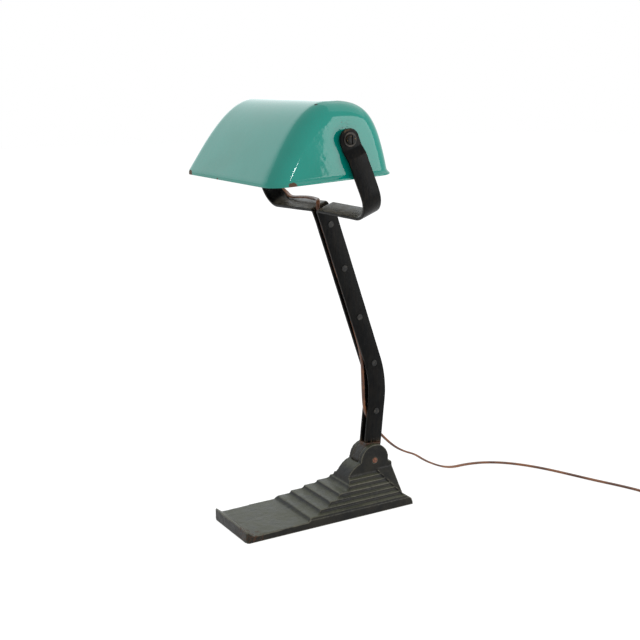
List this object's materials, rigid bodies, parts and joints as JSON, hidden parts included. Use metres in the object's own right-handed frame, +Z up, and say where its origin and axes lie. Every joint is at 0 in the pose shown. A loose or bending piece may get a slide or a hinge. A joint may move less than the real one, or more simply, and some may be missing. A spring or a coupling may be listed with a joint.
{
  "type": "banker desk lamp",
  "caption": "Desk lamp: a tilting enamelled half-round shade in a yoke of flat bars, hinged on a stepped cast foot with a pen tray.",
  "frame": {"origin": "middle of the foot's underside", "axes": "+X to the lamp's right seen from its front, -Y towards the front (the pen tray), +Z up"},
  "size_m": [0.2984, 0.5448, 0.4274],
  "materials": {
    "cast_iron": "dark painted casting, worn, matt",
    "rusty_iron": "brownish, rusty, matt",
    "rusty_steel": "rusty copper-brown",
    "black_bar": "worn black paint, satin",
    "black_rivet": "worn black paint, satin",
    "green_enamel": "glossy green enamel outside, white inside",
    "fibre": "vulcanised fibre, matt",
    "brass": "aged, satin",
    "dark_washer": "dark, satin",
    "porcelain": "glazed",
    "bakelite": "satin gloss",
    "opal_glass": "opal white",
    "nickel": "nickel plate, worn",
    "flex": "brown plastic-covered twin flex, satin",
    "tie": "woven tape, matt"
  },
  "bodies": {
    "foot": {"base_casting": "cast_iron", "hinge_screw": "rusty_steel", "hinge_spring_washer": "rusty_steel", "cord_free": "flex", "cord_coil": "flex", "cord_tie": "tie", "plug_body": "bakelite", "plug_pins": "nickel"},
    "arm": {"hinge_knuckle": "rusty_iron", "arm_bar_right": "black_bar", "arm_bar_left": "black_bar", "arm_rivets": "black_rivet", "arm_spacers": "black_bar", "flex_in_arm": "flex"},
    "shade": {"shade_shell": "green_enamel", "pivot_fibre_washers": "fibre", "pivot_screw": "brass", "pivot_screw_washer": "dark_washer", "pivot_nut": "brass", "pivot_lock_washer": "dark_washer", "holder_nipple": "brass", "nipple_locknut": "brass", "nipple_washer": "dark_washer", "holder_washer": "dark_washer", "holder_cap": "brass", "holder_body": "brass", "holder_insert": "porcelain", "holder_shell": "brass", "centre_contact": "brass", "terminal_screws": "brass", "holder_ring": "brass", "bulb_glass": "opal_glass", "bulb_cap": "nickel", "bulb_tip": "nickel", "flex_tail": "flex"},
    "key": {"switch_key": "bakelite"}
  },
  "joints": [
    {"name": "arm_tilt", "type": "hinge", "parent": "foot", "child": "arm", "pos_m": [0, 0.067, 0.048], "axis": [1, 0, 0], "range_deg": [-20, 40]},
    {"name": "shade_tilt", "type": "hinge", "parent": "arm", "child": "shade", "pos_m": [0, -0.01989, 0.39349], "axis": [1, 0, 0], "range_deg": [-45, 45]},
    {"name": "switch_turn", "type": "hinge", "parent": "shade", "child": "key", "pos_m": [-0.0635, -0.01989, 0.39349], "axis": [0, -0.6639, -0.7478], "range_deg": [0, 90]}
  ]
}
